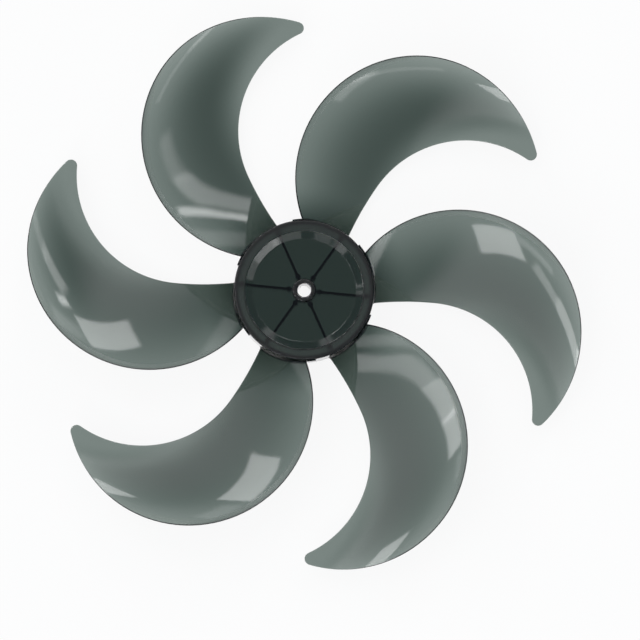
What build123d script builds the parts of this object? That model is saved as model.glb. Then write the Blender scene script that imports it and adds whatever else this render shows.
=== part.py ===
from build123d import *
from math import atan, atan2, cos, degrees, pi, radians, sin, sqrt, tan
import os

# Fan blade wheel of a table or pedestal fan, moulded in one piece from clear smoked plastic.
# Z is the shaft's axis, with the front of the wheel up and the skirt's rear rim at z = 0.
# Lengths are in millimetres. Angles are in degrees, counter-clockwise from +X as seen from the front.

# Whole wheel
TIP_DIAMETER = 340.0
BLADE_COUNT = 6

# Hub: a cup that is open at the rear, with a shallow dish in its front for the flange of the fan's nut
HUB_DIAMETER = 84.0
HUB_DEPTH = 32.0
SKIRT_WALL = 2.0
FACE_WALL = 2.8
RIM_WIDTH = 6.5
RIM_ROUND = 1.0
DISH_DEPTH = 3.6
DISH_SLOPE_WIDTH = 4.5
DISH_ROUND = 0.6

# Shaft boss in the middle of the hub, with a slot across its rear end for the shaft's drive pin
BORE_DIAMETER = 8.1
BORE_CHAMFER = 0.6
BOSS_DIAMETER = 13.6
BOSS_REAR_Z = 3.0
COLLAR_HEIGHT = 0.8
SLOT_WIDTH = 4.2
SLOT_DEPTH = 6.0
SLOT_ANGLE = 90.0

# Ribs behind the face, one for each blade, each with two round posts where pins push it out of the mould
RIB_ANGLE = 54.5
RIB_THICKNESS = 1.5
RIB_REAR_Z_AT_BOSS = 10.0
RIB_REAR_Z_AT_SKIRT = 15.0
POST_DIAMETER = 3.2
POST_SETBACK = 2.4

# Plan of the first blade, a crescent that points the way the wheel turns, clockwise from the front
TRAILING_ROOT_ANGLE = 91.7
LEADING_ROOT_ANGLE = 51.5
OUTERMOST_ANGLE = 44.5
BLADE_WIDTH = 58.2
LEADING_ARC_RADIUS = 65.0
LEADING_ROOT_RADIUS = 190.0
NOSE_TURN = 30.5
NOSE_RADIUS = 3.8

# Lift of the blade's middle surface: at its root it climbs from one rim of the skirt to the other
ROOT_GAP = 4.8
ROOT_FILLET = 1.2
TIP_PITCH = 18.0
TIP_RISE = 1.5
CAMBER_RADIUS = 135.0
SPINE_SWING = 20.0

# Blade thickness along Z: greatest on a crown nearer the leading edge, with more at the root and less at the tip
CROWN_THICKNESS = 2.1
LEADING_THICKNESS = 1.1
TRAILING_THICKNESS = 1.4
CROWN_OFFSET = 14.0
CROWN_TO_LEADING = 30.0
CROWN_TO_TRAILING = 46.0
ROOT_THICKENING = 1.2
ROOT_REACH = 24.0
TIP_THICKNESS = 1.1
TIP_REACH = 40.0

# Land on the skirt behind the root of each trailing edge
LAND_SPAN = 8.0
LAND_HEIGHT = 0.9
LAND_DEPTH = 9.0
LAND_BELOW_RIM = 1.2

# Points across and along each face of a blade, and how far the face runs past the blade's plan
STATIONS_ALONG = 17
STATIONS_ACROSS = 11
FACE_OVERRUN = 4.0

tip_radius = TIP_DIAMETER / 2
hub_radius = HUB_DIAMETER / 2
skirt_inner_radius = hub_radius - SKIRT_WALL
root_radius = hub_radius - SKIRT_WALL / 2
bore_radius = BORE_DIAMETER / 2
boss_radius = BOSS_DIAMETER / 2
dish_mouth_radius = hub_radius - RIM_WIDTH
dish_floor_radius = dish_mouth_radius - DISH_SLOPE_WIDTH
dish_floor_z = HUB_DEPTH - DISH_DEPTH
collar_z = dish_floor_z + COLLAR_HEIGHT
# The wall behind the dish keeps its thickness, so its corners lie this much further out.
dish_turn = FACE_WALL * tan(atan2(DISH_DEPTH, DISH_SLOPE_WIDTH) / 2)
root_angle = (TRAILING_ROOT_ANGLE + LEADING_ROOT_ANGLE) / 2
root_half_arc = hub_radius * radians(TRAILING_ROOT_ANGLE - LEADING_ROOT_ANGLE) / 2
root_pitch = degrees(atan((HUB_DEPTH - 2 * ROOT_GAP) / (2 * root_half_arc)))
spine_root_z = HUB_DEPTH / 2 - root_half_arc**2 / (2 * CAMBER_RADIUS)


def polar(radius, angle):
    """Point in the plan at this radius and angle from the shaft's axis."""
    return Vector(radius * cos(radians(angle)), radius * sin(radians(angle)))


def circle_crossings(centre_a, radius_a, centre_b, radius_b):
    """The two points where two circles in the plan cross."""
    across = centre_b - centre_a
    gap = across.length
    along = (radius_a**2 - radius_b**2 + gap**2) / (2 * gap)
    half_chord = sqrt(radius_a**2 - along**2)
    foot = centre_a + across * (along / gap)
    side = Vector(-across.Y, across.X) * (half_chord / gap)
    return foot + side, foot - side


def short_arc(centre, start, end):
    """The shorter arc about a centre from one point to another."""
    middle = (start + end) * 0.5 - centre
    return ThreePointArc(start, centre + middle.normalized() * (start - centre).length, end)


def nearest(points, target):
    """The one of some points that is nearest to a target."""
    return min(points, key=lambda point: (point - target).length)


def lowest(points):
    """The one of some points that has the least Y."""
    return min(points, key=lambda point: point.Y)


def blade_outline():
    """Plan of the first blade: trailing arc, round nose, leading arc, and a flatter arc to the root."""
    axis = Vector(0, 0)
    outermost = polar(tip_radius, OUTERMOST_ANGLE)
    trailing_root = polar(hub_radius, TRAILING_ROOT_ANGLE)
    leading_root = polar(hub_radius, LEADING_ROOT_ANGLE)

    # The trailing arc passes through its root and touches the tip circle from inside.
    lean = hub_radius * cos(radians(TRAILING_ROOT_ANGLE - OUTERMOST_ANGLE))
    trailing_radius = (hub_radius**2 + tip_radius**2 - 2 * tip_radius * lean) / (2 * (tip_radius - lean))
    trailing_centre = polar(tip_radius - trailing_radius, OUTERMOST_ANGLE)

    # The nose lies against the inside of the trailing arc, past the outermost point.
    nose_angle = OUTERMOST_ANGLE - NOSE_TURN
    nose_centre = trailing_centre + polar(trailing_radius - NOSE_RADIUS, nose_angle)
    nose_start = trailing_centre + polar(trailing_radius, nose_angle)

    # The leading arc touches the nose and leaves the blade its full width.
    centre_gap = BLADE_WIDTH - trailing_radius + LEADING_ARC_RADIUS
    nose_gap = LEADING_ARC_RADIUS + NOSE_RADIUS
    leading_centre = lowest(circle_crossings(trailing_centre, centre_gap, nose_centre, nose_gap))
    nose_end = nose_centre + (leading_centre - nose_centre).normalized() * NOSE_RADIUS

    # The flatter arc carries the leading edge on, without a corner, to its root.
    flat_gap = LEADING_ROOT_RADIUS - LEADING_ARC_RADIUS
    flat_centre = lowest(circle_crossings(leading_centre, flat_gap, leading_root, LEADING_ROOT_RADIUS))
    flat_start = leading_centre + (leading_centre - flat_centre).normalized() * LEADING_ARC_RADIUS

    # Both edges end in the middle of the skirt's wall.
    trailing_ends = circle_crossings(trailing_centre, trailing_radius, axis, root_radius)
    leading_ends = circle_crossings(flat_centre, LEADING_ROOT_RADIUS, axis, root_radius)
    trailing_end = nearest(trailing_ends, trailing_root)
    leading_end = nearest(leading_ends, leading_root)
    edges = [
        ThreePointArc(trailing_end, outermost, nose_start),
        short_arc(nose_centre, nose_start, nose_end),
        short_arc(leading_centre, nose_end, flat_start),
        short_arc(flat_centre, flat_start, leading_end),
        short_arc(axis, leading_end, trailing_end),
    ]
    return make_face(edges).face()


def span_share(radius):
    """How far out a radius is, from 0 at the hub to 1 at the tip circle."""
    return (radius - hub_radius) / (tip_radius - hub_radius)


def spine_angle(radius):
    """Angle of the blade's spine, which swings back a little and then sweeps forward to the tip."""
    share = span_share(radius)
    return root_angle + SPINE_SWING * share - (root_angle + SPINE_SWING - OUTERMOST_ANGLE) * share**2


def middle_height(radius, offset):
    """Height of the blade's middle surface at a distance behind the spine, measured along the arc."""
    share = span_share(radius)
    pitch = TIP_PITCH + (root_pitch - TIP_PITCH) * (1 - share) ** 2
    return spine_root_z + TIP_RISE * share + offset * tan(radians(pitch)) + offset**2 / (2 * CAMBER_RADIUS)


def thickness(radius, offset):
    """Blade thickness along Z, falling smoothly from the crown to the margins, and from the root to the tip."""
    from_crown = offset + CROWN_OFFSET
    reach = CROWN_TO_TRAILING if from_crown > 0 else CROWN_TO_LEADING
    margin = TRAILING_THICKNESS if from_crown > 0 else LEADING_THICKNESS
    fall = (1 + cos(pi * min(abs(from_crown) / reach, 1))) / 2
    near_root = max(0, 1 - (radius - hub_radius) / ROOT_REACH)
    near_tip = max(0, 1 - (tip_radius - radius) / TIP_REACH)
    thick = margin + (CROWN_THICKNESS - margin) * fall + ROOT_THICKENING * near_root**2
    return thick + (TIP_THICKNESS - thick) * near_tip**2


def blade_face(outline, side):
    """Front (side 1) or rear (side -1) face of a blade, running past its plan all round."""
    rim = [outline.outer_wire().position_at(step / 60) for step in range(60)]
    lags = [degrees(atan2(point.Y, point.X)) - spine_angle(point.length) for point in rim]
    lag_limit = max(abs(lag) for lag in lags) + FACE_OVERRUN
    inner = root_radius - FACE_OVERRUN
    outer = tip_radius + FACE_OVERRUN
    rows = []
    for i in range(STATIONS_ALONG):
        radius = inner + (outer - inner) * i / (STATIONS_ALONG - 1)
        row = []
        for j in range(STATIONS_ACROSS):
            lag = lag_limit * (2 * j / (STATIONS_ACROSS - 1) - 1)
            offset = radius * radians(lag)
            place = polar(radius, spine_angle(radius) + lag)
            z = middle_height(radius, offset) + side * thickness(radius, offset) / 2
            row.append(Vector(place.X, place.Y, z))
        rows.append(row)
    return Face.make_surface_from_array_of_points(rows)


def blade():
    """The first blade: the column over its plan, kept between its front and rear faces."""
    outline = blade_outline()
    column = extrude(Pos(0, 0, -TIP_DIAMETER / 2) * outline, amount=TIP_DIAMETER, dir=(0, 0, 1))
    below_front = extrude(blade_face(outline, 1), amount=TIP_DIAMETER, dir=(0, 0, -1))
    above_rear = extrude(blade_face(outline, -1), amount=TIP_DIAMETER, dir=(0, 0, 1))
    return column & below_front & above_rear


def half_section(points):
    """Closed face in the XZ plane from (radius, z) points."""
    return make_face(Polyline([(radius, 0, z) for radius, z in points], close=True))


def circles_at(body, radius, z):
    """The circular edges of a turned body at one radius and height."""
    circles = body.edges().filter_by(GeomType.CIRCLE)
    return [edge for edge in circles if abs(edge.radius - radius) < 0.001 and abs(edge.center().Z - z) < 0.001]


def cup():
    """Turned part of the hub: skirt, dished face, and boss with its bore."""
    section = half_section(
        [
            (hub_radius, 0),
            (hub_radius, HUB_DEPTH),
            (dish_mouth_radius, HUB_DEPTH),
            (dish_floor_radius, dish_floor_z),
            (boss_radius, dish_floor_z),
            (boss_radius, collar_z),
            (bore_radius + BORE_CHAMFER, collar_z),
            (bore_radius, collar_z - BORE_CHAMFER),
            (bore_radius, BOSS_REAR_Z + BORE_CHAMFER),
            (bore_radius + BORE_CHAMFER, BOSS_REAR_Z),
            (boss_radius, BOSS_REAR_Z),
            (boss_radius, dish_floor_z - FACE_WALL),
            (dish_floor_radius + dish_turn, dish_floor_z - FACE_WALL),
            (dish_mouth_radius + dish_turn, HUB_DEPTH - FACE_WALL),
            (skirt_inner_radius, HUB_DEPTH - FACE_WALL),
            (skirt_inner_radius, 0),
        ]
    )
    # The turned faces start in the gap ahead of the first blade, clear of every blade's root.
    gap_angle = (LEADING_ROOT_ANGLE + TRAILING_ROOT_ANGLE + LAND_SPAN - 360 / BLADE_COUNT) / 2
    body = Rot(0, 0, gap_angle) * revolve(section, axis=Axis.Z)
    body = fillet(circles_at(body, hub_radius, HUB_DEPTH), RIM_ROUND)
    body = fillet(circles_at(body, dish_mouth_radius, HUB_DEPTH), DISH_ROUND)
    return fillet(circles_at(body, dish_floor_radius, dish_floor_z), DISH_ROUND)


def rib():
    """One rib along +X with its two posts, reaching half a wall into the boss, the face and the skirt."""
    start = (boss_radius + bore_radius) / 2
    rim_z = HUB_DEPTH - FACE_WALL / 2
    floor_z = dish_floor_z - FACE_WALL / 2
    side = half_section(
        [
            (start, RIB_REAR_Z_AT_BOSS),
            (root_radius, RIB_REAR_Z_AT_SKIRT),
            (root_radius, rim_z),
            (dish_mouth_radius + dish_turn / 2, rim_z),
            (dish_floor_radius + dish_turn / 2, floor_z),
            (start, floor_z),
        ]
    )
    plate = extrude(side, amount=RIB_THICKNESS / 2, dir=(0, 1, 0), both=True)
    room = extrude(side, amount=POST_DIAMETER, dir=(0, 1, 0), both=True)
    post = Cylinder(POST_DIAMETER / 2, 2 * HUB_DEPTH)
    for radius in (boss_radius + POST_SETBACK, skirt_inner_radius - POST_SETBACK):
        plate += (Pos(radius, 0, 0) * post) & room
    return plate


def land():
    """Raised land on the skirt behind the first blade's trailing root, sloping in at its rear end."""
    front_z = HUB_DEPTH - LAND_BELOW_RIM
    rear_z = front_z - LAND_DEPTH
    section = half_section(
        [
            (root_radius, rear_z),
            (hub_radius + LAND_HEIGHT, rear_z + 2 * LAND_HEIGHT),
            (hub_radius + LAND_HEIGHT, front_z),
            (root_radius, front_z),
        ]
    )
    return Rot(0, 0, TRAILING_ROOT_ANGLE) * revolve(section, axis=Axis.Z, revolution_arc=LAND_SPAN)


def fan_blade():
    """The whole wheel as one solid."""
    slot = Box(BOSS_DIAMETER + 2, SLOT_WIDTH, SLOT_DEPTH, align=(Align.CENTER, Align.CENTER, Align.MIN))
    around = PolarLocations(0, BLADE_COUNT)
    wheel = cup() + PolarLocations(0, BLADE_COUNT, start_angle=RIB_ANGLE) * rib()
    wheel -= Pos(0, 0, BOSS_REAR_Z) * Rot(0, 0, SLOT_ANGLE) * slot
    wheel += around * blade()
    roots = [
        edge
        for edge in wheel.edges().filter_by(GeomType.BSPLINE)
        if all(abs(Vector(point.X, point.Y).length - hub_radius) < 0.001 for point in (edge @ 0, edge @ 0.5))
    ]
    wheel = fillet(roots, ROOT_FILLET)
    return wheel + around * land()


os.makedirs("parts", exist_ok=True)
export_step(fan_blade(), "parts/fan_blade.step")
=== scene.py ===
from cmath import phase, rect
from math import acos, atan, atan2, cos, pi, radians, sin, sqrt, tan

import bmesh
import bpy
from bpy.props import FloatProperty, FloatVectorProperty, IntProperty, PointerProperty
from mathutils import Matrix, Vector


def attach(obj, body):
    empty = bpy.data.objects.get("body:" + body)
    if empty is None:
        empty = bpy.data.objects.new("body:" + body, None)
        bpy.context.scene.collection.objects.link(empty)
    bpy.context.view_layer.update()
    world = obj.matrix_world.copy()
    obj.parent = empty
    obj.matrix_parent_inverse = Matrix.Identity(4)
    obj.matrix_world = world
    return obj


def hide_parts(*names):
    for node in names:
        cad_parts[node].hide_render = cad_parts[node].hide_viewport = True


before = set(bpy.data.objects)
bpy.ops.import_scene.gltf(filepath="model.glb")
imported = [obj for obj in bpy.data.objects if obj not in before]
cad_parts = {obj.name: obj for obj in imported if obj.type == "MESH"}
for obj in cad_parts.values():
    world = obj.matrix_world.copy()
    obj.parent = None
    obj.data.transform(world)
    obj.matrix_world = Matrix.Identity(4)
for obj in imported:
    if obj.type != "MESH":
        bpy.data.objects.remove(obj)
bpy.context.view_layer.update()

bl_info = {
    "name": "Smoked Fan Blade",
    "version": (1, 0, 0),
    "blender": (4, 5, 0),
    "location": "3D View > Sidebar > Fan Blade",
    "description": "Moulds a six-blade fan wheel of clear smoked plastic and sets it on a studio floor",
    "category": "Object",
}


# Fineness of the meshes

ROUND_STEPS = 144
POST_STEPS = 24
LAND_STEPS = 8
TRAILING_STEPS = 240
LEADING_STEPS = 160
FLAT_STEPS = 60
NOSE_STEPS = 32
BLADE_ROWS = 85
BLADE_COLUMNS = 41
LONGEST_SIDE = 0.006
GUARD = 0.00025
MERGING_DISTANCE = 0.000002
SHARP_ANGLE = radians(50)
FEWEST_FACES = 1000


# The camera and the floor

CAMERA_VIEW = radians(8)
CAMERA_HEIGHT = radians(85.94)
CAMERA_TILT = radians(0.22)
CAMERA_DISTANCE = 2.7555
WHEEL_MIDDLE = Vector((0, 0, 0.015))
AIM_SHIFT = Vector((0.00958, -0.01697, 0))
FLOOR_REACH = 4
FLOOR_DROP = 0.0005


# The studio's pale wall: its middle in degrees, and where its sides, foot and top fade

WALL_DIRECTION = 165
WALL_SIDES = (-0.35, -0.1)
WALL_FOOT = (0.34, 0.9)
WALL_TOP = (0.97, 0.88)
PALE = (0.95, 0.95, 0.95)


# The studio's soft boxes: direction and height of their two ends, width and softness,
# all in degrees, and brightness

SOFT_BOXES = (
    ((84, 33), (60, 17), 15, 2, 4.2),
    ((60, 15), (46, 4), 8, 4, 1.0),
    ((144, 31), (118, 17), 15, 2, 4.2),
    ((116, 13), (104, 3), 8, 4, 0.9),
    ((229, 27.5), (212, 29), 8, 3, 2.2),
    ((213, 28), (193, 25), 11, 3, 3.8),
    ((195, 26), (177, 18), 10, 3, 4.2),
    ((176, 13), (166, 6), 6, 3, 0.8),
    ((262, 35.5), (238, 25), 15, 2, 4.2),
    ((240, 21), (220, 15), 5, 3, 1.4),
    ((50.5, 26), (46, 19), 4, 3, 6.0),
    ((48, 31), (32, 31.5), 9, 4, 2.6),
    ((34, 31), (10, 28), 8, 6, 1.3),
    ((322, 24), (298, 16), 5, 3, 1.5),
    ((274, 17.4), (302, 16.9), 4, 1, 0.8),
    ((302, 16.9), (333, 15.5), 4, 4, 2.6),
    ((333, 15.5), (354, 14.0), 4, 1, 0.9),
    ((240, 16.8), (259, 17.4), 4, 1, 0.7),
)


# Sizes and colours


def length(name, millimetres, words):
    """A size that is kept in metres and written here in millimetres."""
    metres = millimetres / 1000
    return FloatProperty(name=name, description=words, default=metres, precision=5, unit="LENGTH")


def angle(name, degrees, words):
    """An angle that is kept in radians and written here in degrees."""
    return FloatProperty(name=name, description=words, default=radians(degrees), subtype="ANGLE")


def share(name, value, words):
    """A number from nothing to all."""
    return FloatProperty(name=name, description=words, default=value, min=0.0, max=1.0, subtype="FACTOR")


def colour(name, value, words):
    """A colour given by its red, green and blue."""
    return FloatVectorProperty(
        name=name,
        description=words,
        default=value,
        size=3,
        min=0.0,
        max=1.0,
        subtype="COLOR",
    )


class FANBLADE_PG_hub(bpy.types.PropertyGroup):
    """Sizes of the hub, a cup that is open at the rear."""

    diameter: length("Hub diameter", 84.0, "Across the outside of the skirt")
    depth: length("Hub depth", 32.0, "From the skirt's rear rim to its front rim")
    skirt_wall: length("Skirt wall", 2.0, "Thickness of the skirt")
    face_wall: length("Face wall", 2.8, "Thickness of the dished front face")
    rim_width: length("Rim width", 6.5, "From the skirt's outside to the mouth of the dish")
    dish_depth: length("Dish depth", 3.6, "From the rim down to the floor of the dish")
    dish_slope: length("Dish slope", 4.5, "Width of the dish's sloping side, seen from the front")
    bore: length("Bore", 8.1, "Diameter of the shaft hole")
    boss: length("Boss", 13.6, "Diameter of the shaft boss")
    boss_rear: length("Boss rear", 3.0, "Height of the boss's rear end over the skirt's rear rim")
    collar: length("Collar", 0.8, "Height of the boss's ring over the floor of the dish")
    slot_width: length("Slot width", 4.2, "Width of the drive pin's slot")
    slot_depth: length("Slot depth", 6.0, "Depth of the drive pin's slot")
    rib_angle: angle("Rib angle", 54.5, "Angle of the first rib")
    rib_thickness: length("Rib thickness", 1.5, "Thickness of a rib behind the face")
    rib_rear_at_boss: length("Rib rear at boss", 10.0, "Height of a rib's rear edge at the boss")
    rib_rear_at_skirt: length("Rib rear at skirt", 15.0, "Height of a rib's rear edge at the skirt")
    post: length("Post", 3.2, "Diameter of the round posts on a rib")
    post_setback: length("Post setback", 2.4, "From the boss or the skirt to a post's axis")
    land_span: angle("Land span", 8.0, "Angle that a land covers on the skirt")
    land_height: length("Land height", 0.9, "How far a land stands out of the skirt")
    land_depth: length("Land depth", 9.0, "Length of a land along the shaft")
    land_below_rim: length("Land below rim", 1.2, "From the front rim down to a land")


class FANBLADE_PG_blade(bpy.types.PropertyGroup):
    """Sizes of the blades, all alike."""

    count: IntProperty(name="Blades", description="Number of blades", default=6, min=2, max=12)
    tip_diameter: length("Tip diameter", 340.0, "Across the circle that the blades reach")
    trailing_root: angle("Trailing root", 91.7, "Angle of the trailing edge's root on the skirt")
    leading_root: angle("Leading root", 51.5, "Angle of the leading edge's root on the skirt")
    outermost: angle("Outermost point", 44.5, "Angle at which a blade touches the tip circle")
    width: length("Blade width", 58.2, "Widest distance between the two edges")
    leading_arc: length("Leading arc", 65.0, "Radius of the hollow part of the leading edge")
    leading_root_arc: length("Leading root arc", 190.0, "Radius of the flatter part next to the skirt")
    nose_turn: angle("Nose turn", 30.5, "How far the trailing arc runs on past the outermost point")
    nose_radius: length("Nose radius", 3.8, "Radius of the blade's nose")
    root_gap: length("Root gap", 4.8, "From each rim of the skirt to the blade's root")
    root_fillet: length("Root fillet", 1.2, "Radius where a blade meets the skirt")
    tip_pitch: angle("Tip pitch", 18.0, "Slope of the blade at the tip circle")
    tip_rise: length("Tip rise", 1.5, "How much higher the spine ends than it starts")
    camber: length("Camber radius", 135.0, "Radius of the hollow across the blade")
    spine_swing: angle("Spine swing", 20.0, "How far the spine swings back before it sweeps forward")
    crown: length("Crown thickness", 2.1, "Greatest thickness over most of the blade")
    leading_thickness: length("Leading thickness", 1.1, "Thickness at the thin front margin")
    trailing_thickness: length("Trailing thickness", 1.4, "Thickness at the thin rear margin")
    crown_offset: length("Crown offset", 14.0, "From the spine forward to the thickest line")
    crown_to_leading: length("Crown to leading", 30.0, "From the thickest line to the thin front margin")
    crown_to_trailing: length("Crown to trailing", 46.0, "From the thickest line to the thin rear margin")
    root_thickening: length("Root thickening", 1.2, "Extra thickness at the skirt")
    root_reach: length("Root reach", 24.0, "How far out from the skirt the extra thickness runs")
    tip_thickness: length("Tip thickness", 1.1, "Thickness at the tip circle")
    tip_reach: length("Tip reach", 40.0, "How far in from the tip circle the blade starts to thin")
    edge_round: length("Edge round", 0.35, "How far in from the edge its rounding starts")


class FANBLADE_PG_finish(bpy.types.PropertyGroup):
    """Colours of the plastic and of the studio."""

    tint: colour("Smoke tint", (0.113, 0.213, 0.172), "Colour that the plastic lets through")
    smoke: FloatProperty(
        name="Smoke",
        description="How strongly the plastic absorbs, per metre",
        default=1540.0,
    )
    polish: share("Polish", 0.06, "Roughness of the polished mould's surface")
    satin: share("Satin", 0.35, "Extra roughness on the front of the rim and of the boss")
    floor: colour("Floor", (0.92, 0.92, 0.92), "Colour of the studio floor")
    floor_glow: share("Floor glow", 0.9, "How far the floor looks evenly white")
    ceiling: colour("Ceiling", (0.14, 0.17, 0.2), "Colour of the studio's dim ceiling")
    wall: FloatProperty(name="Wall", description="Brightness of the studio's pale wall", default=1.3)


# Formulas inside node trees


class Value:
    """A number in a node tree, so that a formula in this file reads as it would on paper."""

    def __init__(self, tree, socket):
        self.tree = tree
        self.socket = socket

    def __add__(self, other):
        return worked(self.tree, "ADD", self, other)

    def __radd__(self, other):
        return worked(self.tree, "ADD", other, self)

    def __sub__(self, other):
        return worked(self.tree, "SUBTRACT", self, other)

    def __rsub__(self, other):
        return worked(self.tree, "SUBTRACT", other, self)

    def __mul__(self, other):
        return worked(self.tree, "MULTIPLY", self, other)

    def __rmul__(self, other):
        return worked(self.tree, "MULTIPLY", other, self)

    def __truediv__(self, other):
        return worked(self.tree, "DIVIDE", self, other)


def feed(tree, socket, value):
    """Gives a socket a plain value, another node's socket or a worked number."""
    if isinstance(value, Value):
        value = value.socket
    if isinstance(value, bpy.types.NodeSocket):
        tree.links.new(value, socket)
    else:
        socket.default_value = value


def worked(tree, operation, *values):
    """The result of one sum on numbers of the tree."""
    node = tree.nodes.new("ShaderNodeMath")
    node.operation = operation
    for socket, value in zip(node.inputs, values):
        feed(tree, socket, value)
    return Value(tree, node.outputs[0])


def placed(tree, kind, settings=None, **inputs):
    """A new node with its settings made and its named inputs fed."""
    node = tree.nodes.new(kind)
    for name, setting in (settings or {}).items():
        setattr(node, name, setting)
    for name, value in inputs.items():
        feed(tree, node.inputs[name.replace("_", " ")], value)
    return node


def joined(tree, x, y, z):
    """A vector from three numbers."""
    node = tree.nodes.new("ShaderNodeCombineXYZ")
    for socket, value in zip(node.inputs, (x, y, z)):
        feed(tree, socket, value)
    return node.outputs[0]


def parted(tree, vector):
    """The three numbers of a vector."""
    node = tree.nodes.new("ShaderNodeSeparateXYZ")
    feed(tree, node.inputs[0], vector)
    return [Value(tree, socket) for socket in node.outputs]


# Plan of a blade


def circle_crossings(centre_a, radius_a, centre_b, radius_b):
    """The two points where two circles in the plan cross."""
    across = centre_b - centre_a
    gap = abs(across)
    along = (radius_a**2 - radius_b**2 + gap**2) / (2 * gap)
    half_chord = sqrt(radius_a**2 - along**2)
    foot = centre_a + across * (along / gap)
    side = across * 1j * (half_chord / gap)
    return foot + side, foot - side


def lowest(points):
    """The one of some points that has the least Y."""
    return min(points, key=lambda point: point.imag)


def nearest(points, target):
    """The one of some points that is nearest to a target."""
    return min(points, key=lambda point: abs(point - target))


def arc(centre, start, end, steps, clockwise=False):
    """Points along an arc, the shorter way round unless it has to run clockwise."""
    turn = phase((end - centre) / (start - centre))
    if clockwise and turn > 0:
        turn -= 2 * pi
    return [centre + (start - centre) * rect(1, turn * step / steps) for step in range(1, steps + 1)]


def blade_edges(hub, blade):
    """Plans of the trailing and leading edges, from inside the skirt's wall to the tip of the nose."""
    hub_radius = hub.diameter / 2
    tip_radius = blade.tip_diameter / 2
    start_radius = hub_radius - hub.skirt_wall / 5

    # The trailing arc passes through its root and touches the tip circle from inside.
    lean = hub_radius * cos(blade.trailing_root - blade.outermost)
    trailing_radius = (hub_radius**2 + tip_radius**2 - 2 * tip_radius * lean) / (2 * (tip_radius - lean))
    trailing_centre = rect(tip_radius - trailing_radius, blade.outermost)

    # The nose lies against the inside of the trailing arc, past the outermost point.
    nose_angle = blade.outermost - blade.nose_turn
    nose_centre = trailing_centre + rect(trailing_radius - blade.nose_radius, nose_angle)
    nose_start = trailing_centre + rect(trailing_radius, nose_angle)

    # The leading arc touches the nose and leaves the blade its full width.
    centre_gap = blade.width - trailing_radius + blade.leading_arc
    nose_gap = blade.leading_arc + blade.nose_radius
    leading_centre = lowest(circle_crossings(trailing_centre, centre_gap, nose_centre, nose_gap))
    to_leading = leading_centre - nose_centre
    nose_end = nose_centre + to_leading * (blade.nose_radius / abs(to_leading))
    nose_tip = arc(nose_centre, nose_start, nose_end, 2, clockwise=True)[0]

    # The flatter arc carries the leading edge on, without a corner, to its root.
    leading_root = rect(hub_radius, blade.leading_root)
    flat_gap = blade.leading_root_arc - blade.leading_arc
    flat_centre = lowest(circle_crossings(leading_centre, flat_gap, leading_root, blade.leading_root_arc))
    from_flat = leading_centre - flat_centre
    flat_start = leading_centre + from_flat * (blade.leading_arc / abs(from_flat))

    trailing_ends = circle_crossings(trailing_centre, trailing_radius, 0, start_radius)
    leading_ends = circle_crossings(flat_centre, blade.leading_root_arc, 0, start_radius)
    trailing_end = nearest(trailing_ends, rect(hub_radius, blade.trailing_root))
    leading_end = nearest(leading_ends, leading_root)
    trailing = [trailing_end]
    trailing += arc(trailing_centre, trailing_end, nose_start, TRAILING_STEPS, clockwise=True)
    trailing += arc(nose_centre, nose_start, nose_tip, NOSE_STEPS)
    leading = [leading_end]
    leading += arc(flat_centre, leading_end, flat_start, FLAT_STEPS)
    leading += arc(leading_centre, flat_start, nose_end, LEADING_STEPS)
    leading += arc(nose_centre, nose_end, nose_tip, NOSE_STEPS)
    return trailing, leading


def edge_curve(name, plan):
    """A curve along the plan of one edge."""
    data = bpy.data.curves.new(name, "CURVE")
    data.dimensions = "3D"
    spline = data.splines.new("POLY")
    spline.points.add(len(plan) - 1)
    for point, place in zip(spline.points, plan):
        point.co = (place.real, place.imag, 0, 1)
    return linked(bpy.data.objects.new(name, data))


# Meshes of the hub's parts


def linked(item):
    """The same object, now in the scene."""
    bpy.context.scene.collection.objects.link(item)
    return item


def mesh_object(name, shape):
    """An object with this shape, its faces turned outwards."""
    bmesh.ops.recalc_face_normals(shape, faces=shape.faces[:])
    mesh = bpy.data.meshes.new(name)
    shape.to_mesh(mesh)
    shape.free()
    return linked(bpy.data.objects.new(name, mesh))


def rounded(corners, steps=5):
    """Closed outline from (x, y, radius) corners, with an arc at each one that has a radius."""
    outline = []
    for index, (x, y, radius) in enumerate(corners):
        corner = Vector((x, y))
        before = (Vector(corners[index - 1][:2]) - corner).normalized()
        after = (Vector(corners[(index + 1) % len(corners)][:2]) - corner).normalized()
        if radius == 0:
            outline.append(corner)
            continue
        half = acos(before.dot(after)) / 2
        centre = corner + (before + after).normalized() * (radius / sin(half))
        first = corner + before * (radius / tan(half)) - centre
        last = corner + after * (radius / tan(half)) - centre
        turn = atan2(first.cross(last), first.dot(last))
        for step in range(steps + 1):
            outline.append(centre + Matrix.Rotation(turn * step / steps, 2) @ first)
    return outline


def divided(outline, longest, guard):
    """The same closed outline with its long sides divided, and a point close to each of their ends."""
    points = []
    for index, point in enumerate(outline):
        side = outline[(index + 1) % len(outline)] - point
        points.append(point)
        if side.length > 4 * guard:
            inset = side * (guard / side.length)
            run = side - 2 * inset
            pieces = max(1, round(run.length / longest))
            points += [point + inset + run * (step / pieces) for step in range(pieces + 1)]
    return points


def turned(outline, angles, closed=True):
    """A body turned about the shaft's axis from an outline of (radius, height) points."""
    shape = bmesh.new()
    rings = []
    for turn in angles:
        ring = [shape.verts.new((point.x * cos(turn), point.x * sin(turn), point.y)) for point in outline]
        rings.append(ring)
    spans = range(len(rings)) if closed else range(len(rings) - 1)
    for span in spans:
        one = rings[span]
        two = rings[(span + 1) % len(rings)]
        for index in range(len(outline)):
            following = (index + 1) % len(outline)
            shape.faces.new((one[index], one[following], two[following], two[index]))
    if not closed:
        shape.faces.new(rings[0])
        shape.faces.new(rings[-1])
    return shape


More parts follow.
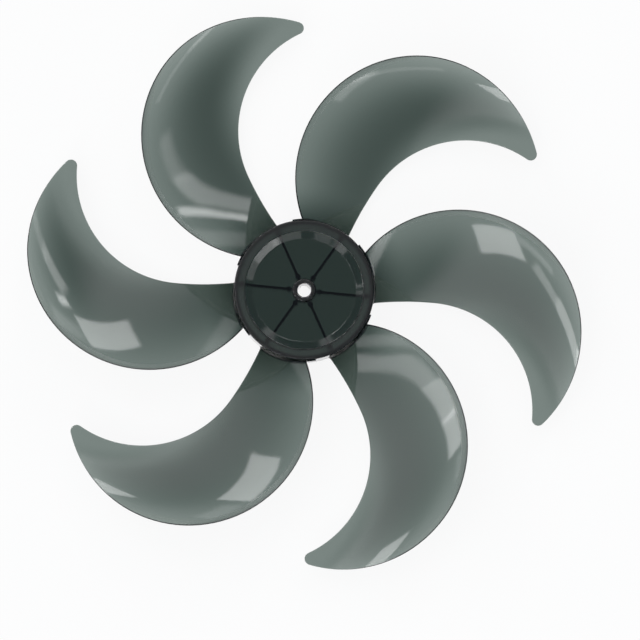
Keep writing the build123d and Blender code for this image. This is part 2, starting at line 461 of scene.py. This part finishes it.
def cup_shape(hub):
    """Turned part of the hub: skirt, dished face, and boss with its bore."""
    outer = hub.diameter / 2
    inner = outer - hub.skirt_wall
    mouth = outer - hub.rim_width
    floor = mouth - hub.dish_slope
    floor_z = hub.depth - hub.dish_depth
    collar_z = floor_z + hub.collar
    turn = hub.face_wall * tan(atan2(hub.dish_depth, hub.dish_slope) / 2)
    bore = hub.bore / 2
    boss = hub.boss / 2
    chamfer = 0.0006

    # Radius, height and rounding of each corner, from the skirt's rear rim over the front and back.
    corners = [
        (outer, 0, 0.0004),
        (outer, hub.depth, 0.001),
        (mouth, hub.depth, 0.0006),
        (floor, floor_z, 0.0006),
        (boss, floor_z, 0.0002),
        (boss, collar_z, 0.0006),
        (bore + 1.5 * chamfer, collar_z, 0.0003),
        (bore, collar_z - 0.8 * chamfer, 0.0002),
        (bore, hub.boss_rear + chamfer, 0.0002),
        (bore + chamfer, hub.boss_rear, 0.0002),
        (boss, hub.boss_rear, 0.0003),
        (boss, floor_z - hub.face_wall, 0.0005),
        (floor + turn, floor_z - hub.face_wall, 0.0006),
        (mouth + turn, hub.depth - hub.face_wall, 0.0006),
        (inner, hub.depth - hub.face_wall, 0.0008),
        (inner, 0, 0.0004),
    ]
    outline = divided(rounded(corners), LONGEST_SIDE, GUARD)
    return turned(outline, [2 * pi * step / ROUND_STEPS for step in range(ROUND_STEPS)])


def rib_shape(hub):
    """One rib along +X with its two posts, reaching half a wall into the boss, the face and the skirt."""
    outer = hub.diameter / 2
    mouth = outer - hub.rim_width
    floor = mouth - hub.dish_slope
    floor_z = hub.depth - hub.dish_depth - hub.face_wall / 2
    rim_z = hub.depth - hub.face_wall / 2
    turn = hub.face_wall * tan(atan2(hub.dish_depth, hub.dish_slope) / 2)
    start = (hub.boss + hub.bore) / 4
    end = outer - hub.skirt_wall / 2
    slope = (hub.rib_rear_at_skirt - hub.rib_rear_at_boss) / (end - start)
    side = [
        (start, hub.rib_rear_at_boss),
        (end, hub.rib_rear_at_skirt),
        (end, rim_z),
        (mouth + turn / 2, rim_z),
        (floor + turn / 2, floor_z),
        (start, floor_z),
    ]
    shape = bmesh.new()
    half = hub.rib_thickness / 2
    walls = [[shape.verts.new((x, y, z)) for x, z in side] for y in (-half, half)]
    for index in range(len(side)):
        following = (index + 1) % len(side)
        shape.faces.new((walls[0][index], walls[0][following], walls[1][following], walls[1][index]))
    shape.faces.new(walls[0])
    shape.faces.new(walls[1])
    rear_ends = [{*wall[:2]} for wall in walls]
    rear = [edge for edge in shape.edges if {*edge.verts} in rear_ends]
    bmesh.ops.bevel(shape, geom=rear, offset=0.0003, segments=3, profile=0.5, affect="EDGES")

    # The posts, each in rings from its rounded rear end up to its top.
    inner_post = hub.boss / 2 + hub.post_setback
    outer_post = outer - hub.skirt_wall - hub.post_setback
    for middle, top in ((inner_post, floor_z), (outer_post, rim_z)):
        rings = []
        for inset, lift in ((0.0003, 0), (0.0001, 0.0001), (0, 0.0003), (0, None)):
            ring = []
            for step in range(POST_STEPS):
                x = middle + (hub.post / 2 - inset) * cos(2 * pi * step / POST_STEPS)
                y = (hub.post / 2 - inset) * sin(2 * pi * step / POST_STEPS)
                rear_z = hub.rib_rear_at_boss + slope * (x - start)
                ring.append(shape.verts.new((x, y, top if lift is None else rear_z + lift)))
            rings.append(ring)
        for one, two in zip(rings, rings[1:]):
            for index in range(POST_STEPS):
                following = (index + 1) % POST_STEPS
                shape.faces.new((one[index], one[following], two[following], two[index]))
        shape.faces.new(rings[0])
        shape.faces.new(rings[-1])
    return shape


def land_shape(hub, blade):
    """Raised land on the skirt behind the first blade's trailing root, sloping in at its rear end."""
    outer = hub.diameter / 2
    root = outer - hub.skirt_wall / 2
    front = hub.depth - hub.land_below_rim
    rear = front - hub.land_depth
    corners = [
        (root, rear, 0),
        (outer + hub.land_height, rear + 2 * hub.land_height, 0.0004),
        (outer + hub.land_height, front, 0.0003),
        (root, front, 0),
    ]
    angles = [blade.trailing_root + hub.land_span * step / LAND_STEPS for step in range(LAND_STEPS + 1)]
    return turned(rounded(corners), angles, closed=False)


def slot_shape(hub):
    """The room of the drive pin's slot across the boss's rear end."""
    shape = bmesh.new()
    bmesh.ops.create_cube(shape, size=1)
    spare = 0.002
    size = (hub.slot_width, hub.boss + spare, hub.slot_depth + spare)
    bmesh.ops.scale(shape, vec=size, verts=shape.verts)
    lift = hub.boss_rear + (hub.slot_depth - spare) / 2
    bmesh.ops.translate(shape, vec=(0, 0, lift), verts=shape.verts)
    return shape


# The wheel's node trees


def blade_tree():
    """Rule of one blade: a sheet between its two edges, lifted by pitch and camber, thick on its crown."""
    tree = bpy.data.node_groups.new("crescent_blade", "GeometryNodeTree")
    for name in ("Trailing Edge", "Leading Edge"):
        tree.interface.new_socket(name=name, in_out="INPUT", socket_type="NodeSocketObject")
    for name in ("Rows", "Columns"):
        tree.interface.new_socket(name=name, in_out="INPUT", socket_type="NodeSocketInt")
    numbers = (
        "Hub Radius",
        "Tip Radius",
        "Root Angle",
        "Outermost Angle",
        "Spine Swing",
        "Root Height",
        "Root Pitch",
        "Tip Pitch",
        "Tip Rise",
        "Camber Radius",
        "Crown Thickness",
        "Leading Thickness",
        "Trailing Thickness",
        "Crown Offset",
        "Crown To Leading",
        "Crown To Trailing",
        "Root Thickening",
        "Root Reach",
        "Tip Thickness",
        "Tip Reach",
        "Edge Round",
        "Root Fillet",
    )
    for name in numbers:
        tree.interface.new_socket(name=name, in_out="INPUT", socket_type="NodeSocketFloat")
    tree.interface.new_socket(name="Blade", in_out="OUTPUT", socket_type="NodeSocketGeometry")
    given = tree.nodes.new("NodeGroupInput")
    size = {name: Value(tree, given.outputs[name]) for name in numbers}

    # Where each point of a flat sheet lies: along from root to nose, and across from leading to
    # trailing edge, both drawn together towards the ends.
    sheet = placed(
        tree,
        "GeometryNodeMeshGrid",
        Size_X=1.0,
        Size_Y=1.0,
        Vertices_X=given.outputs["Rows"],
        Vertices_Y=given.outputs["Columns"],
    )
    flat_x, flat_y, _ = parted(tree, tree.nodes.new("GeometryNodeInputPosition").outputs[0])
    along = 0.5 + 0.5 * worked(tree, "SINE", flat_x * pi)
    across = 0.5 + 0.5 * worked(tree, "SINE", flat_y * pi)

    # Radius and angle of the two edges at the same share of their length.
    edges = []
    plans = []
    for name in ("Leading Edge", "Trailing Edge"):
        source = placed(tree, "GeometryNodeObjectInfo", Object=given.outputs[name])
        sample = placed(
            tree,
            "GeometryNodeSampleCurve",
            {"use_all_curves": True},
            Curves=source.outputs["Geometry"],
            Factor=along,
        )
        x, y, _ = parted(tree, sample.outputs["Position"])
        radius = worked(tree, "SQRT", x * x + y * y)
        edges.append((radius, worked(tree, "ARCTAN2", y, x)))
        plans.append(placed(tree, "GeometryNodeCurveToMesh", Curve=source.outputs["Geometry"]).outputs[0])
    (front_radius, front_angle), (rear_radius, rear_angle) = edges

    # The root flares out to the skirt in a fillet.
    radius = front_radius + (rear_radius - front_radius) * across
    fillet = size["Root Fillet"]
    short = worked(tree, "MAXIMUM", fillet - (radius - size["Hub Radius"]), 0.0)
    short = worked(tree, "MINIMUM", short, fillet)
    flare = fillet - worked(tree, "SQRT", worked(tree, "MAXIMUM", fillet * fillet - short * short, 0.0))
    wide_front = front_angle - flare / front_radius
    wide_rear = rear_angle + flare / rear_radius
    turn = wide_front + (wide_rear - wide_front) * across
    x = radius * worked(tree, "COSINE", turn)
    y = radius * worked(tree, "SINE", turn)

    # Height of the middle surface.
    out = (radius - size["Hub Radius"]) / (size["Tip Radius"] - size["Hub Radius"])
    back = size["Root Angle"] + size["Spine Swing"] - size["Outermost Angle"]
    spine = size["Root Angle"] + size["Spine Swing"] * out - back * out * out
    offset = radius * (turn - spine)
    inward = 1.0 - out
    pitch = size["Tip Pitch"] + (size["Root Pitch"] - size["Tip Pitch"]) * inward * inward
    camber = offset * offset / (2.0 * size["Camber Radius"])
    rise = size["Root Height"] + size["Tip Rise"] * out
    middle = rise + offset * worked(tree, "TANGENT", pitch) + camber

    # Thickness, which falls smoothly from the crown to the margins, and from the root to the tip.
    from_crown = offset + size["Crown Offset"]
    behind = worked(tree, "GREATER_THAN", from_crown, 0.0)
    reach = size["Crown To Leading"] + (size["Crown To Trailing"] - size["Crown To Leading"]) * behind
    margin = size["Leading Thickness"] + (size["Trailing Thickness"] - size["Leading Thickness"]) * behind
    far = worked(tree, "MINIMUM", worked(tree, "ABSOLUTE", from_crown) / reach, 1.0)
    fall = 0.5 + 0.5 * worked(tree, "COSINE", far * pi)
    near_root = worked(tree, "MAXIMUM", 1.0 - (radius - size["Hub Radius"]) / size["Root Reach"], 0.0)
    near_tip = worked(tree, "MAXIMUM", 1.0 - (size["Tip Radius"] - radius) / size["Tip Reach"], 0.0)
    thick = margin + (size["Crown Thickness"] - margin) * fall
    thick = thick + size["Root Thickening"] * near_root * near_root
    thick = thick + (size["Tip Thickness"] - thick) * near_tip * near_tip

    # The edges are rounded off over their last stretch, and the sheet closes inside the skirt's wall.
    outline = tree.nodes.new("GeometryNodeJoinGeometry")
    for plan in plans:
        tree.links.new(plan, outline.inputs[0])
    near = tree.nodes.new("GeometryNodeProximity")
    near.target_element = "EDGES"
    tree.links.new(outline.outputs[0], near.inputs[0])
    feed(tree, near.inputs["Sample Position"], joined(tree, x, y, 0.0))
    rear_x = rear_radius * worked(tree, "COSINE", wide_rear)
    rear_y = rear_radius * worked(tree, "SINE", wide_rear)
    gap_x = rear_x - front_radius * worked(tree, "COSINE", wide_front)
    gap_y = rear_y - front_radius * worked(tree, "SINE", wide_front)
    chord = worked(tree, "SQRT", gap_x * gap_x + gap_y * gap_y)
    inset = chord * worked(tree, "MINIMUM", across, 1.0 - across)
    inset = worked(tree, "MINIMUM", inset, Value(tree, near.outputs["Distance"]) + flare)
    left = 1.0 - worked(tree, "MINIMUM", inset / size["Edge Round"], 1.0)
    roundness = worked(tree, "SQRT", worked(tree, "MAXIMUM", 1.0 - left * left, 0.0))
    unclosed = worked(tree, "GREATER_THAN", along, 0.000001)
    swell = flare / worked(tree, "COSINE", size["Root Pitch"])
    half = (thick / 2.0 + swell) * roundness * unclosed

    # The plastic's flow: how far out and how far across the blade each point lies.
    marked = placed(
        tree,
        "GeometryNodeStoreNamedAttribute",
        {"data_type": "FLOAT_VECTOR", "domain": "POINT"},
        Geometry=sheet.outputs["Mesh"],
        Name="flow",
        Value=joined(tree, radius, offset, 0.0),
    )
    front = placed(
        tree,
        "GeometryNodeSetPosition",
        Geometry=marked.outputs[0],
        Position=joined(tree, x, y, middle + half),
    )
    rear = placed(
        tree,
        "GeometryNodeSetPosition",
        Geometry=marked.outputs[0],
        Position=joined(tree, x, y, middle - half),
    )
    turned_rear = placed(tree, "GeometryNodeFlipFaces", Mesh=rear.outputs[0])
    both = tree.nodes.new("GeometryNodeJoinGeometry")
    tree.links.new(front.outputs[0], both.inputs[0])
    tree.links.new(turned_rear.outputs[0], both.inputs[0])
    closed = placed(tree, "GeometryNodeMergeByDistance", Geometry=both.outputs[0], Distance=MERGING_DISTANCE)
    result = tree.nodes.new("NodeGroupOutput")
    tree.links.new(closed.outputs[0], result.inputs["Blade"])
    return tree


def ring_tree():
    """Repeats a shape at even steps round the shaft's axis."""
    tree = bpy.data.node_groups.new("ring_of_alike", "GeometryNodeTree")
    tree.interface.new_socket(name="Shape", in_out="INPUT", socket_type="NodeSocketGeometry")
    tree.interface.new_socket(name="Count", in_out="INPUT", socket_type="NodeSocketInt")
    tree.interface.new_socket(name="First Angle", in_out="INPUT", socket_type="NodeSocketFloat")
    tree.interface.new_socket(name="Ring", in_out="OUTPUT", socket_type="NodeSocketGeometry")
    given = tree.nodes.new("NodeGroupInput")
    count = Value(tree, given.outputs["Count"])
    points = placed(tree, "GeometryNodePoints", Count=count)
    index = Value(tree, tree.nodes.new("GeometryNodeInputIndex").outputs[0])
    turn = Value(tree, given.outputs["First Angle"]) + index * (2 * pi) / count
    rotation = placed(tree, "FunctionNodeEulerToRotation", Euler=joined(tree, 0.0, 0.0, turn))
    copies = placed(
        tree,
        "GeometryNodeInstanceOnPoints",
        Points=points.outputs[0],
        Instance=given.outputs["Shape"],
        Rotation=rotation.outputs[0],
    )
    real = placed(tree, "GeometryNodeRealizeInstances", Geometry=copies.outputs[0])
    result = tree.nodes.new("NodeGroupOutput")
    tree.links.new(real.outputs[0], result.inputs["Ring"])
    return tree


def wheel_tree():
    """The whole moulding: the hub's cup with rings of ribs, lands and blades, all melted into one skin."""
    tree = bpy.data.node_groups.new("moulded_wheel", "GeometryNodeTree")
    tree.interface.new_socket(name="Cup", in_out="INPUT", socket_type="NodeSocketGeometry")
    tree.interface.new_socket(name="Blade Count", in_out="INPUT", socket_type="NodeSocketInt")
    tree.interface.new_socket(name="Rib Angle", in_out="INPUT", socket_type="NodeSocketFloat")
    for name in ("Rib", "Land", "Slot"):
        tree.interface.new_socket(name=name, in_out="INPUT", socket_type="NodeSocketObject")
    blade_rule = blade_tree()
    own = [item for item in blade_rule.interface.items_tree if item.in_out == "INPUT"]
    for item in own:
        tree.interface.new_socket(name=item.name, in_out="INPUT", socket_type=item.socket_type)
    tree.interface.new_socket(name="Plastic", in_out="INPUT", socket_type="NodeSocketMaterial")
    tree.interface.new_socket(name="Wheel", in_out="OUTPUT", socket_type="NodeSocketGeometry")
    given = tree.nodes.new("NodeGroupInput")
    ring_rule = ring_tree()

    def ring(shape, first_angle):
        node = placed(
            tree,
            "GeometryNodeGroup",
            {"node_tree": ring_rule},
            Shape=shape,
            Count=given.outputs["Blade Count"],
            First_Angle=first_angle,
        )
        return node.outputs[0]

    blade = placed(tree, "GeometryNodeGroup", {"node_tree": blade_rule})
    for item in own:
        tree.links.new(given.outputs[item.name], blade.inputs[item.name])
    rib = placed(tree, "GeometryNodeObjectInfo", Object=given.outputs["Rib"])
    land = placed(tree, "GeometryNodeObjectInfo", Object=given.outputs["Land"])
    slot = placed(tree, "GeometryNodeObjectInfo", Object=given.outputs["Slot"])
    melted = placed(tree, "GeometryNodeMeshBoolean", {"operation": "UNION", "solver": "EXACT"})
    feed(tree, melted.inputs["Self Intersection"], True)
    parts = (
        given.outputs["Cup"],
        ring(rib.outputs["Geometry"], given.outputs["Rib Angle"]),
        ring(land.outputs["Geometry"], 0.0),
        ring(blade.outputs[0], 0.0),
    )
    for part in parts:
        tree.links.new(part, melted.inputs["Mesh 2"])
    slotted = placed(tree, "GeometryNodeMeshBoolean", {"operation": "DIFFERENCE", "solver": "EXACT"})
    tree.links.new(melted.outputs[0], slotted.inputs["Mesh 1"])
    tree.links.new(slot.outputs["Geometry"], slotted.inputs["Mesh 2"])
    real = placed(tree, "GeometryNodeRealizeInstances", Geometry=slotted.outputs[0])
    finished = placed(
        tree,
        "GeometryNodeSetMaterial",
        Geometry=real.outputs[0],
        Material=given.outputs["Plastic"],
    )
    result = tree.nodes.new("NodeGroupOutput")
    tree.links.new(finished.outputs[0], result.inputs["Wheel"])
    return tree


# Finishes


def smoked_plastic(finish, hub):
    """Clear smoked plastic: glossy, tinted through its depth, with a faint ripple and uneven polish."""
    material = bpy.data.materials.new("smoked_plastic")
    material.use_nodes = True
    tree = material.node_tree
    tree.nodes.clear()
    place = tree.nodes.new("ShaderNodeTexCoord").outputs["Object"]
    flow = tree.nodes.new("ShaderNodeAttribute")
    flow.attribute_name = "flow"
    stretched = placed(tree, "ShaderNodeMapping", Vector=flow.outputs["Vector"], Scale=(14.0, 190.0, 1.0))
    streak = placed(tree, "ShaderNodeTexNoise", Vector=stretched.outputs[0], Scale=1.0, Detail=2.0)
    cloud = placed(tree, "ShaderNodeTexNoise", Vector=place, Scale=90.0, Detail=3.0, Roughness=0.55)
    fine = placed(tree, "ShaderNodeTexNoise", Vector=place, Scale=900.0, Detail=2.0)
    streaks = Value(tree, streak.outputs[0])
    cloud_share = 0.5
    fine_share = 0.04

    # The front of the rim and of the boss is satin.
    x, y, z = parted(tree, place)
    radius = worked(tree, "SQRT", x * x + y * y)
    mouth = hub.diameter / 2 - hub.rim_width
    floor_z = hub.depth - hub.dish_depth
    rim = soft_step(tree, radius, mouth - 0.0002, mouth + 0.0004)
    rim = rim * soft_step(tree, z, hub.depth - 0.001, hub.depth)
    collar = soft_step(tree, radius, hub.boss / 2, hub.boss / 2 - 0.0005)
    collar = collar * soft_step(tree, z, floor_z, floor_z + hub.collar)
    polish = finish.polish * 0.5 + finish.polish * streaks
    polish = polish + finish.satin * (rim + collar)

    height = streaks + cloud_share * Value(tree, cloud.outputs[0])
    height = height + fine_share * Value(tree, fine.outputs[0])
    ripple = placed(tree, "ShaderNodeBump", Strength=0.12, Distance=0.0004, Height=height)
    body = placed(
        tree,
        "ShaderNodeBsdfPrincipled",
        Base_Color=(0.97, 0.98, 0.975, 1.0),
        Roughness=polish,
        IOR=1.57,
        Transmission_Weight=1.0,
        Normal=ripple.outputs[0],
    )
    smoke = placed(tree, "ShaderNodeVolumeAbsorption", Color=(*finish.tint, 1.0), Density=finish.smoke)
    result = tree.nodes.new("ShaderNodeOutputMaterial")
    tree.links.new(body.outputs[0], result.inputs["Surface"])
    tree.links.new(smoke.outputs[0], result.inputs["Volume"])
    return material


def studio_floor(finish):
    """Pale floor, white to the camera and through the plastic, that still takes the wheel's shadow."""
    material = bpy.data.materials.new("studio_floor")
    material.use_nodes = True
    tree = material.node_tree
    tree.nodes.clear()
    matt = placed(tree, "ShaderNodeBsdfDiffuse", Color=(*finish.floor, 1.0))
    glow = placed(tree, "ShaderNodeEmission", Color=(1.0, 1.0, 1.0, 1.0), Strength=1.0)
    ray = tree.nodes.new("ShaderNodeLightPath")
    seen = worked(tree, "MAXIMUM", ray.outputs["Is Camera Ray"], ray.outputs["Is Glossy Ray"])
    seen = worked(tree, "MAXIMUM", seen, ray.outputs["Is Transmission Ray"])
    mixed = tree.nodes.new("ShaderNodeMixShader")
    feed(tree, mixed.inputs[0], seen * finish.floor_glow)
    tree.links.new(matt.outputs[0], mixed.inputs[1])
    tree.links.new(glow.outputs[0], mixed.inputs[2])
    result = tree.nodes.new("ShaderNodeOutputMaterial")
    tree.links.new(mixed.outputs[0], result.inputs["Surface"])
    return material


# Light of the studio


def bearing(direction, height):
    """A unit vector towards a direction round the wheel and a height over the floor, both in degrees."""
    turn = radians(direction)
    lift = radians(height)
    return Vector((cos(lift) * cos(turn), cos(lift) * sin(turn), sin(lift)))


def soft_step(tree, value, start, end):
    """Rises smoothly from 0 at the start to 1 at the end."""
    node = tree.nodes.new("ShaderNodeMapRange")
    node.interpolation_type = "SMOOTHSTEP"
    for socket, given in zip(node.inputs, (value, start, end, 0.0, 1.0)):
        feed(tree, socket, given)
    return Value(tree, node.outputs[0])


def pointing(tree, way, axis):
    """How far a direction points along an axis."""
    node = tree.nodes.new("ShaderNodeVectorMath")
    node.operation = "DOT_PRODUCT"
    feed(tree, node.inputs[0], way)
    node.inputs[1].default_value = axis
    return Value(tree, node.outputs["Value"])


def soft_box(tree, way, one, two, width, softness, brightness):
    """Light of one soft box between two bearings, with soft edges."""
    ends = [bearing(*one), bearing(*two)]
    middle = (ends[0] + ends[1]).normalized()
    along = (ends[1] - ends[0]).normalized()
    ahead = worked(tree, "MAXIMUM", pointing(tree, way, middle), 0.001)
    light = brightness
    for axis, reach in ((along, ends[0].angle(ends[1]) / 2), (middle.cross(along), radians(width) / 2)):
        slant = worked(tree, "ABSOLUTE", pointing(tree, way, axis)) / ahead
        edge = radians(softness) / 2
        light = light * soft_step(tree, slant, tan(reach + edge), tan(reach - edge))
    return light


def studio(finish):
    """A dim room with a pale wall all round but on the right, and soft boxes; plain pale to the eye."""
    world = bpy.data.worlds.new("studio")
    world.use_nodes = True
    tree = world.node_tree
    way = tree.nodes.new("ShaderNodeTexCoord").outputs["Generated"]
    lift = pointing(tree, way, (0, 0, 1))
    facing = pointing(tree, way, bearing(WALL_DIRECTION, 0))
    light = finish.wall * soft_step(tree, facing, *WALL_SIDES)
    light = light * soft_step(tree, lift, *WALL_FOOT) * soft_step(tree, lift, *WALL_TOP)
    for box in SOFT_BOXES:
        light = light + soft_box(tree, way, *box)
    room = placed(tree, "ShaderNodeVectorMath", {"operation": "ADD"})
    room.inputs[0].default_value = finish.ceiling
    feed(tree, room.inputs[1], joined(tree, light, light, light))
    ray = tree.nodes.new("ShaderNodeLightPath")
    seen = worked(tree, "MAXIMUM", ray.outputs["Is Camera Ray"], ray.outputs["Is Transmission Ray"])
    shown = placed(tree, "ShaderNodeMix", {"data_type": "VECTOR"})
    feed(tree, shown.inputs["Factor"], seen)
    vectors = [socket for socket in shown.inputs if socket.type == "VECTOR"]
    feed(tree, vectors[-2], room.outputs[0])
    feed(tree, vectors[-1], PALE)
    result = [socket for socket in shown.outputs if socket.type == "VECTOR"][-1]
    tree.links.new(result, tree.nodes["Background"].inputs["Color"])
    return world


# Operators


class FANBLADE_OT_mould_wheel(bpy.types.Operator):
    """Mould the wheel: hub, ribs, lands and blades in one skin of smoked plastic"""

    bl_idname = "fanblade.mould_wheel"
    bl_label = "Mould the wheel"

    def execute(self, context):
        hub = context.scene.fan_hub
        blade = context.scene.fan_blade
        hub_radius = hub.diameter / 2
        half_arc = hub_radius * (blade.trailing_root - blade.leading_root) / 2
        trailing, leading = blade_edges(hub, blade)
        helpers = {
            "Trailing Edge": edge_curve("trailing_edge", trailing),
            "Leading Edge": edge_curve("leading_edge", leading),
            "Rib": mesh_object("rib", rib_shape(hub)),
            "Land": mesh_object("land", land_shape(hub, blade)),
            "Slot": mesh_object("slot", slot_shape(hub)),
        }
        values = {
            "Blade Count": blade.count,
            "Rib Angle": hub.rib_angle,
            "Rows": BLADE_ROWS,
            "Columns": BLADE_COLUMNS,
            "Hub Radius": hub_radius,
            "Tip Radius": blade.tip_diameter / 2,
            "Root Angle": (blade.trailing_root + blade.leading_root) / 2,
            "Outermost Angle": blade.outermost,
            "Spine Swing": blade.spine_swing,
            "Root Height": hub.depth / 2 - half_arc**2 / (2 * blade.camber),
            "Root Pitch": atan((hub.depth - 2 * blade.root_gap) / (2 * half_arc)),
            "Tip Pitch": blade.tip_pitch,
            "Tip Rise": blade.tip_rise,
            "Camber Radius": blade.camber,
            "Crown Thickness": blade.crown,
            "Leading Thickness": blade.leading_thickness,
            "Trailing Thickness": blade.trailing_thickness,
            "Crown Offset": blade.crown_offset,
            "Crown To Leading": blade.crown_to_leading,
            "Crown To Trailing": blade.crown_to_trailing,
            "Root Thickening": blade.root_thickening,
            "Root Reach": blade.root_reach,
            "Tip Thickness": blade.tip_thickness,
            "Tip Reach": blade.tip_reach,
            "Edge Round": blade.edge_round,
            "Root Fillet": blade.root_fillet,
            "Plastic": smoked_plastic(context.scene.fan_finish, hub),
            **helpers,
        }
        wheel = mesh_object("fan_blade_moulding", cup_shape(hub))
        tree = wheel_tree()
        modifier = wheel.modifiers.new("moulded_wheel", "NODES")
        modifier.node_group = tree
        for item in tree.interface.items_tree:
            if item.in_out == "INPUT" and item.name in values:
                modifier[item.identifier] = values[item.name]
        context.view_layer.update()
        shaped = wheel.evaluated_get(context.evaluated_depsgraph_get())
        mesh = bpy.data.meshes.new_from_object(shaped)
        wheel.modifiers.clear()
        wheel.data = mesh
        for helper in helpers.values():
            bpy.data.objects.remove(helper)
        if len(mesh.polygons) < FEWEST_FACES:
            raise RuntimeError("the wheel's parts did not melt into one skin")
        mesh.shade_smooth()
        mesh.set_sharp_from_angle(angle=SHARP_ANGLE)
        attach(wheel, "root")
        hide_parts("fan_blade")
        return {"FINISHED"}


class FANBLADE_OT_set_stage(bpy.types.Operator):
    """Set the floor, the soft lights and the camera"""

    bl_idname = "fanblade.set_stage"
    bl_label = "Set the stage"

    def execute(self, context):
        finish = context.scene.fan_finish
        shape = bmesh.new()
        bmesh.ops.create_grid(shape, x_segments=1, y_segments=1, size=FLOOR_REACH)
        floor = bpy.data.meshes.new("floor")
        shape.to_mesh(floor)
        shape.free()
        ground = linked(bpy.data.objects.new("floor", floor))
        ground.location.z = -FLOOR_DROP
        floor.materials.append(studio_floor(finish))

        context.scene.world = studio(finish)

        lens = bpy.data.cameras.new("camera")
        lens.angle = CAMERA_VIEW
        eye = linked(bpy.data.objects.new("camera", lens))
        away = Vector((0, -cos(CAMERA_HEIGHT), sin(CAMERA_HEIGHT)))
        eye.location = WHEEL_MIDDLE + away * CAMERA_DISTANCE
        aim = WHEEL_MIDDLE + AIM_SHIFT
        back = (eye.location - aim).normalized()
        side = Vector((cos(CAMERA_TILT), sin(CAMERA_TILT), 0))
        up = back.cross(side).normalized()
        eye.rotation_euler = Matrix((up.cross(back), up, back)).transposed().to_euler()
        context.scene.camera = eye
        context.scene.view_settings.view_transform = "Standard"
        return {"FINISHED"}


class FANBLADE_PT_panel(bpy.types.Panel):
    """Steps of the fan blade, in order"""

    bl_idname = "FANBLADE_PT_panel"
    bl_label = "Fan Blade"
    bl_space_type = "VIEW_3D"
    bl_region_type = "UI"
    bl_category = "Fan Blade"

    def draw(self, context):
        for group in (context.scene.fan_hub, context.scene.fan_blade, context.scene.fan_finish):
            box = self.layout.box()
            for name in group.bl_rna.properties.keys():
                if name not in ("rna_type", "name"):
                    box.prop(group, name)
        self.layout.operator(FANBLADE_OT_mould_wheel.bl_idname)
        self.layout.operator(FANBLADE_OT_set_stage.bl_idname)


classes = (
    FANBLADE_PG_hub,
    FANBLADE_PG_blade,
    FANBLADE_PG_finish,
    FANBLADE_OT_mould_wheel,
    FANBLADE_OT_set_stage,
    FANBLADE_PT_panel,
)


def register():
    for item in classes:
        bpy.utils.register_class(item)
    bpy.types.Scene.fan_hub = PointerProperty(type=FANBLADE_PG_hub)
    bpy.types.Scene.fan_blade = PointerProperty(type=FANBLADE_PG_blade)
    bpy.types.Scene.fan_finish = PointerProperty(type=FANBLADE_PG_finish)


def unregister():
    del bpy.types.Scene.fan_finish
    del bpy.types.Scene.fan_blade
    del bpy.types.Scene.fan_hub
    for item in reversed(classes):
        bpy.utils.unregister_class(item)


def main():
    register()
    bpy.ops.fanblade.mould_wheel()
    bpy.ops.fanblade.set_stage()


if __name__ == "__main__":
    main()
